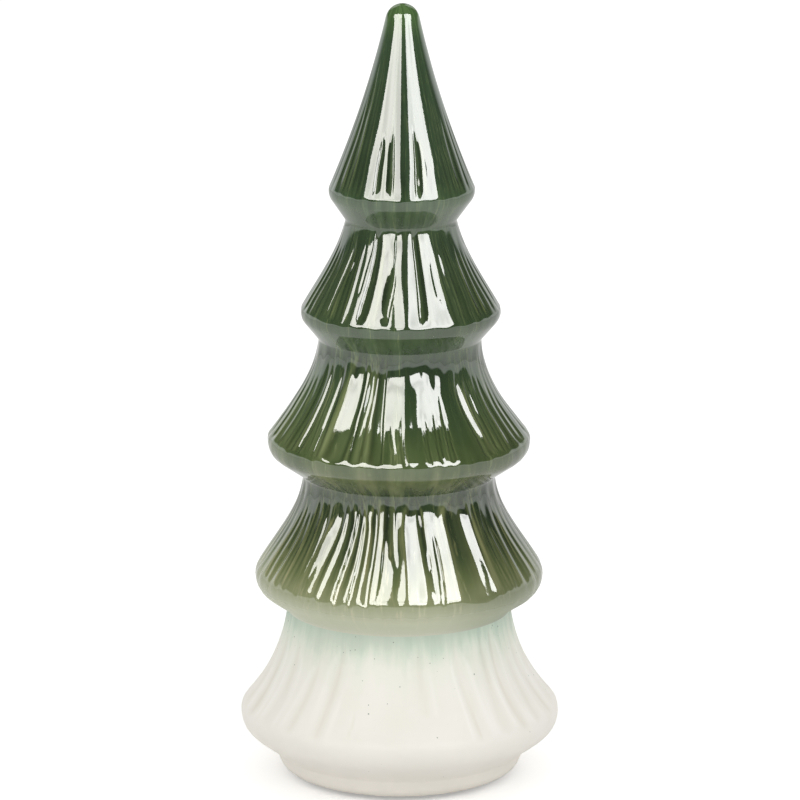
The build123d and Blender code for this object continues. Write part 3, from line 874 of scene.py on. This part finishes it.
# %% Node tree for fibres
FIBRE_TILT, FIBRE_TURN = 1.1, 6.28
felt_tree, entry, leave, felt_inputs = new_group("felt_fibres", {
    "Fibres per square metre": FLOAT, "Fibre length": FLOAT, "Fibre radius": FLOAT,
    "Lowest": FLOAT, "Highest": FLOAT, "Seed": "NodeSocketInt", "Felt": MATERIAL,
})
given = entry.outputs
scatter = add(felt_tree, "GeometryNodeDistributePointsOnFaces", {
    "Mesh": given["Geometry"], "Density": given["Fibres per square metre"], "Seed": given["Seed"],
})
fibre = add(felt_tree, "GeometryNodeMeshCone", {
    "Vertices": 3, "Side Segments": 2, "Radius Top": 0.0, "Radius Bottom": given["Fibre radius"],
    "Depth": given["Fibre length"],
})
spin = add(felt_tree, "FunctionNodeRandomValue", {
    0: (-FIBRE_TILT, -FIBRE_TILT, 0.0), 1: (FIBRE_TILT, FIBRE_TILT, FIBRE_TURN), "Seed": given["Seed"],
}, data_type="FLOAT_VECTOR").outputs[0]
turned = add(felt_tree, "FunctionNodeRotateRotation", {
    "Rotation": scatter.outputs["Rotation"], "Rotate By": spin,
}, rotation_space="LOCAL").outputs[0]
planted = add(felt_tree, "GeometryNodeInstanceOnPoints", {
    "Points": scatter.outputs["Points"], "Instance": fibre.outputs["Mesh"], "Rotation": turned,
})
joined = add(felt_tree, "GeometryNodeJoinGeometry")
for part in (given["Geometry"], planted.outputs[0]):
    felt_tree.links.new(part, joined.inputs[0])
real = add(felt_tree, "GeometryNodeRealizeInstances", {"Geometry": joined.outputs[0]}).outputs[0]
spot = parts_of(felt_tree, add(felt_tree, "GeometryNodeInputPosition").outputs[0])
clamped = add(felt_tree, "ShaderNodeClamp", {0: spot["Z"], 1: given["Lowest"], 2: given["Highest"]})
pressed = add(felt_tree, "ShaderNodeCombineXYZ", {0: spot["X"], 1: spot["Y"], 2: clamped.outputs[0]})
flat = add(felt_tree, "GeometryNodeSetPosition", {"Geometry": real, "Position": pressed.outputs[0]})
clad = add(felt_tree, "GeometryNodeSetMaterial", {"Geometry": flat.outputs[0], "Material": given["Felt"]})
felt_tree.links.new(clad.outputs[0], leave.inputs[0])
print(felt_tree.name, "has", len(felt_tree.nodes), "nodes")

# %% Plain discs
PAD_EDGE_ROUND = 0.45 * MM
PAD_EDGE_ANGLES = (-90, -60, -30, 0, 30, 60, 90)
PAD_RING_SHARES = (0.3, 0.65)
PAD_COLUMNS = 72
WAVER_SHARES, WAVER_COUNTS = (0.008, 0.006), (5, 11)


def disc_outline(radius, low, high):
    """Points from the middle of the underside round the soft edge to the middle of the top."""
    outline = [(radius * share, low) for share in PAD_RING_SHARES]
    for angle in PAD_EDGE_ANGLES:
        middle = low + PAD_EDGE_ROUND if angle <= 0 else high - PAD_EDGE_ROUND
        across, up = PAD_EDGE_ROUND * direction(angle)
        outline.append((radius - PAD_EDGE_ROUND + across, middle + up))
    return outline + [(radius * share, high) for share in reversed(PAD_RING_SHARES)]


def felt_disc(name, low, high):
    """Disc that fills its CAD solid's box; its rings waver a little, as cut felt does."""
    centre = (low + high) / 2
    radius = (high.x - low.x) / 2
    outline = disc_outline(radius, low.z, high.z)
    ring = np.radians(np.arange(PAD_COLUMNS) * 360 / PAD_COLUMNS)
    waver = np.ones(PAD_COLUMNS)
    for share, count, phase in zip(WAVER_SHARES, WAVER_COUNTS, (centre.x / MM, centre.y / MM)):
        waver += share * np.sin(count * ring + phase)
    spots = []
    for across, up in outline:
        for angle, swell in zip(ring, waver):
            reach = min(across * swell, radius) if across < radius else across
            spots.append((centre.x + reach * math.cos(angle), centre.y + reach * math.sin(angle), up))
    spots += [(centre.x, centre.y, low.z), (centre.x, centre.y, high.z)]
    top = (len(outline) - 1) * PAD_COLUMNS
    sides = []
    for a in range(0, top, PAD_COLUMNS):
        b = a + PAD_COLUMNS
        for column in range(PAD_COLUMNS):
            beside = (column + 1) % PAD_COLUMNS
            sides.append((a + column, a + beside, b + beside, b + column))
    for column in range(PAD_COLUMNS):
        beside = (column + 1) % PAD_COLUMNS
        sides.append((beside, column, len(spots) - 2))
        sides.append((top + column, top + beside, len(spots) - 1))
    shape = bpy.data.meshes.new(name)
    shape.from_pydata(spots, [], sides)
    disc = bpy.data.objects.new(name, shape)
    scene.collection.objects.link(disc)
    return disc


# %% Pads with their fibres
FIBRE_DENSITY = 3.0e6
FIBRE_LENGTH, FIBRE_RADIUS = 0.5 * MM, 0.018 * MM
felt = wool_felt()
pad_nodes = sorted(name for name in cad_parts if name.startswith("felt_pad"))
for seed, node_name in enumerate(pad_nodes):
    low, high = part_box(node_name)
    pad = felt_disc(node_name.replace("felt_pad", "felt_disc"), low, high)
    bake(pad, felt_tree, {
        felt_inputs["Fibres per square metre"]: FIBRE_DENSITY,
        felt_inputs["Fibre length"]: FIBRE_LENGTH,
        felt_inputs["Fibre radius"]: FIBRE_RADIUS,
        felt_inputs["Lowest"]: low.z,
        felt_inputs["Highest"]: high.z,
        felt_inputs["Seed"]: seed,
        felt_inputs["Felt"]: felt,
    })
    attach(pad, "root")
    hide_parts(node_name)
    print(pad.name, len(pad.data.polygons), "faces")

# %% [markdown]
# ## Floor and surroundings
# The tree stands on white paper that runs out of sight, under an even white light. The paper glows a little
# to the camera only, so that it melts into the white behind it and still takes a soft shadow. Lamps strong
# enough to burn the paper out would also bleach the glaze.

# %% Floor
FLOOR_RADIUS, FLOOR_SIDES = 3.2, 96
PAPER_WHITE, PAPER_GLOW = (0.9, 0.9, 0.9, 1), 0.3
angles = np.linspace(0, 2 * math.pi, FLOOR_SIDES + 1)[:-1]
rim = [(FLOOR_RADIUS * math.cos(angle), FLOOR_RADIUS * math.sin(angle), 0) for angle in angles]
floor_mesh = bpy.data.meshes.new("floor")
floor_mesh.from_pydata(rim, [], [list(range(len(rim)))])
floor = bpy.data.objects.new("floor", floor_mesh)
scene.collection.objects.link(floor)
floor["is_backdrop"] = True

paper, tree = empty_material("white_paper")
light_path = add(tree, "ShaderNodeLightPath").outputs
seen = math_node(tree, "MAXIMUM", light_path["Is Camera Ray"], light_path["Is Transmission Ray"])
matt = add(tree, "ShaderNodeBsdfDiffuse", {"Color": PAPER_WHITE})
lift = add(tree, "ShaderNodeEmission", {"Strength": math_node(tree, "MULTIPLY", seen, PAPER_GLOW)})
total = add(tree, "ShaderNodeAddShader", {0: matt.outputs[0], 1: lift.outputs[0]})
add(tree, "ShaderNodeOutputMaterial", {"Surface": total.outputs[0]})
floor_mesh.materials.append(paper)
print("floor of", FLOOR_RADIUS, "m radius")

# %% World
AMBIENT = 0.74
world = bpy.data.worlds.new("studio")
scene.world = world
world.use_nodes = True
tree = world.node_tree
tree.nodes.clear()
light_path = add(tree, "ShaderNodeLightPath").outputs
seen = math_node(tree, "MAXIMUM", light_path["Is Camera Ray"], light_path["Is Transmission Ray"])
seen = math_node(tree, "MAXIMUM", seen, light_path["Is Glossy Ray"])
soft = add(tree, "ShaderNodeBackground", {"Color": (1, 1, 1, 1), "Strength": AMBIENT})
white = add(tree, "ShaderNodeBackground", {"Color": (1, 1, 1, 1), "Strength": 1.0})
choice = add(tree, "ShaderNodeMixShader", {0: seen, 1: soft.outputs[0], 2: white.outputs[0]})
add(tree, "ShaderNodeOutputWorld", {"Surface": choice.outputs[0]})
print("even light of", AMBIENT)

# %% [markdown]
# ## Soft boxes and curtains
# Glossy glaze shows its surroundings, so the studio matters as much as the finish. Two soft boxes stand in
# front, left and right of the camera, and two behind, with dark curtains between and above them, which keeps
# the green deep. A picture of a studio could be wrapped round the scene, but panels on a dome can be shaped
# until their reflections fall where they should: the front boxes are narrower below, and their upper outer
# corners are cut. The panels are only seen in reflections, and lamps in the same places do the lighting.

# %% Panels of a dome
STUDIO_CENTRE = Vector((0, 0, 150 * MM))
PANEL_STEP = 3


def on_dome(azimuth_angle, elevation, radius):
    """Point of a dome round the tree; azimuth is counted from the front, to the right."""
    a, e = math.radians(azimuth_angle), math.radians(elevation)
    arm = Vector((math.sin(a) * math.cos(e), -math.cos(a) * math.cos(e), math.sin(e)))
    return STUDIO_CENTRE + radius * arm


def dome_panel(name, outline, radius, material):
    """Panel that only glossy surfaces see; its outline lists elevation, first and last azimuth."""
    levels, firsts, lasts = zip(*outline)
    width = 1 + int(max(lasts) - min(firsts)) // PANEL_STEP
    up = np.linspace(levels[0], levels[-1], 1 + int(levels[-1] - levels[0]) // PANEL_STEP)
    spots = []
    for level in up:
        ends = np.interp(level, levels, firsts), np.interp(level, levels, lasts)
        spots += [on_dome(a, level, radius) for a in np.linspace(*ends, width)]
    cells = []
    for level in range(len(up) - 1):
        for column in range(width - 1):
            first = level * width + column
            cells.append((first, first + 1, first + width + 1, first + width))
    shape = bpy.data.meshes.new(name)
    shape.from_pydata(spots, [], cells)
    shape.materials.append(material)
    panel = bpy.data.objects.new(name, shape)
    scene.collection.objects.link(panel)
    for sight in ("camera", "diffuse", "transmission", "volume_scatter", "shadow"):
        setattr(panel, "visible_" + sight, False)
    panel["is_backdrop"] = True
    return panel


# %% Curtains
CURTAIN_RADIUS, CURTAIN_FOOT, CURTAIN_TOP = 2.4, 1, 90
CURTAIN_COLOUR, CURTAIN_GLOW = (0.97, 1.0, 0.98), 0.09
FRONT_EDGE, PAPER_RISE = 0.05, 0.06
FRONT_BLUR, BLUR_RISE = 0.04, 0.08
BESIDE, BEHIND = -0.1, 0.5


def finish_glow(material, tree, colour, level):
    """Ends a material in a glow that lights nothing but reflections."""
    glow = add(tree, "ShaderNodeEmission", {"Color": (*colour, 1), "Strength": level})
    add(tree, "ShaderNodeOutputMaterial", {"Surface": glow.outputs[0]})
    material.cycles.emission_sampling = "NONE"
    return material


def curtain_cloth():
    """Dark cloth over white paper; the paper sweeps up higher behind the tree than in front."""
    material, tree = empty_material("curtain")
    place = add(tree, "ShaderNodeTexCoord").outputs["Object"]
    arm = vector_node(tree, "SUBTRACT", place, tuple(STUDIO_CENTRE))
    unit = parts_of(tree, vector_node(tree, "NORMALIZE", arm))
    behind = ranged(tree, unit["Y"], BESIDE, BEHIND)
    low_edge = math_node(tree, "MULTIPLY_ADD", behind, PAPER_RISE, FRONT_EDGE)
    blur = math_node(tree, "MULTIPLY_ADD", behind, BLUR_RISE, FRONT_BLUR)
    above = math_node(tree, "DIVIDE", math_node(tree, "SUBTRACT", unit["Z"], low_edge), blur)
    level = ranged(tree, above, 0.0, 1.0, 1.0, CURTAIN_GLOW)
    return finish_glow(material, tree, CURTAIN_COLOUR, level)


all_round = ((CURTAIN_FOOT, -180, 180), (CURTAIN_TOP, -180, 180))
curtain = dome_panel("curtain", all_round, CURTAIN_RADIUS, curtain_cloth())
print("curtain of", len(curtain.data.polygons), "faces")

# %% Soft boxes and lamps
BOX_RADIUS = 2.0
BOX_PATCHINESS = 0.25
LAMP_POWER = 5.2
LAMP_WIDTH, LAMP_HEIGHT = 1.4, 1.1
Box = namedtuple("Box", "name outline colour glow lamp")
WARM, FAINTLY_WARM, NEUTRAL = (1.0, 0.985, 0.93), (1.0, 0.985, 0.94), (1.0, 1.0, 0.985)
LEFT_OUTLINE = ((13, -44, -6), (30, -70, -6), (44, -70, -4), (47, -48, -4), (52.5, -40, -4))
RIGHT_OUTLINE = ((13, 18, 52), (32, 16, 68), (44, 14, 70), (47, 14, 52), (52.5, 14, 42))
boxes = [
    Box("front_left", LEFT_OUTLINE, WARM, 6.8, 1.0),
    Box("front_right", RIGHT_OUTLINE, NEUTRAL, 7.4, 1.0),
    Box("back_right", ((22, 145, 172), (50, 145, 172)), NEUTRAL, 1.0, 0.6),
    Box("back_left", ((22, 188, 215), (50, 188, 215)), FAINTLY_WARM, 1.0, 0.6),
]


def box_cloth(box):
    """Slightly patchy glow of a soft box's front."""
    material, tree = empty_material(box.name + "_cloth")
    place = add(tree, "ShaderNodeTexCoord").outputs["Object"]
    cloud = noise(tree, place, scale=2.2, detail=1)
    evenness = ranged(tree, cloud, 0.3, 0.6, 1 - BOX_PATCHINESS, 1.0)
    return finish_glow(material, tree, box.colour, math_node(tree, "MULTIPLY", evenness, box.glow))


for box in boxes:
    dome_panel(box.name + "_face", box.outline, BOX_RADIUS, box_cloth(box))
    lamp = bpy.data.objects.new(box.name + "_lamp", bpy.data.lights.new(box.name + "_lamp", "AREA"))
    lamp.data.shape = "RECTANGLE"
    lamp.data.size, lamp.data.size_y = LAMP_WIDTH, LAMP_HEIGHT
    lamp.data.energy = LAMP_POWER * box.lamp
    lamp.data.color = box.colour
    level, first, last = np.mean(box.outline, axis=0)
    lamp.location = on_dome((first + last) / 2, level, BOX_RADIUS)
    lamp.rotation_euler = (lamp.location - STUDIO_CENTRE).to_track_quat("Z", "Y").to_euler()
    lamp.visible_camera = False
    lamp.visible_glossy = False
    scene.collection.objects.link(lamp)
print("soft boxes:", [box.name for box in boxes])

# %% [markdown]
# ## Size of the result
# The looks must not change the object's size, so the box of everything shown, without the floor and the
# studio, is printed at the end.

# %% Size of what is shown
low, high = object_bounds()
print("visual box in mm:", [round(x / MM, 1) for x in (*low, *high)])
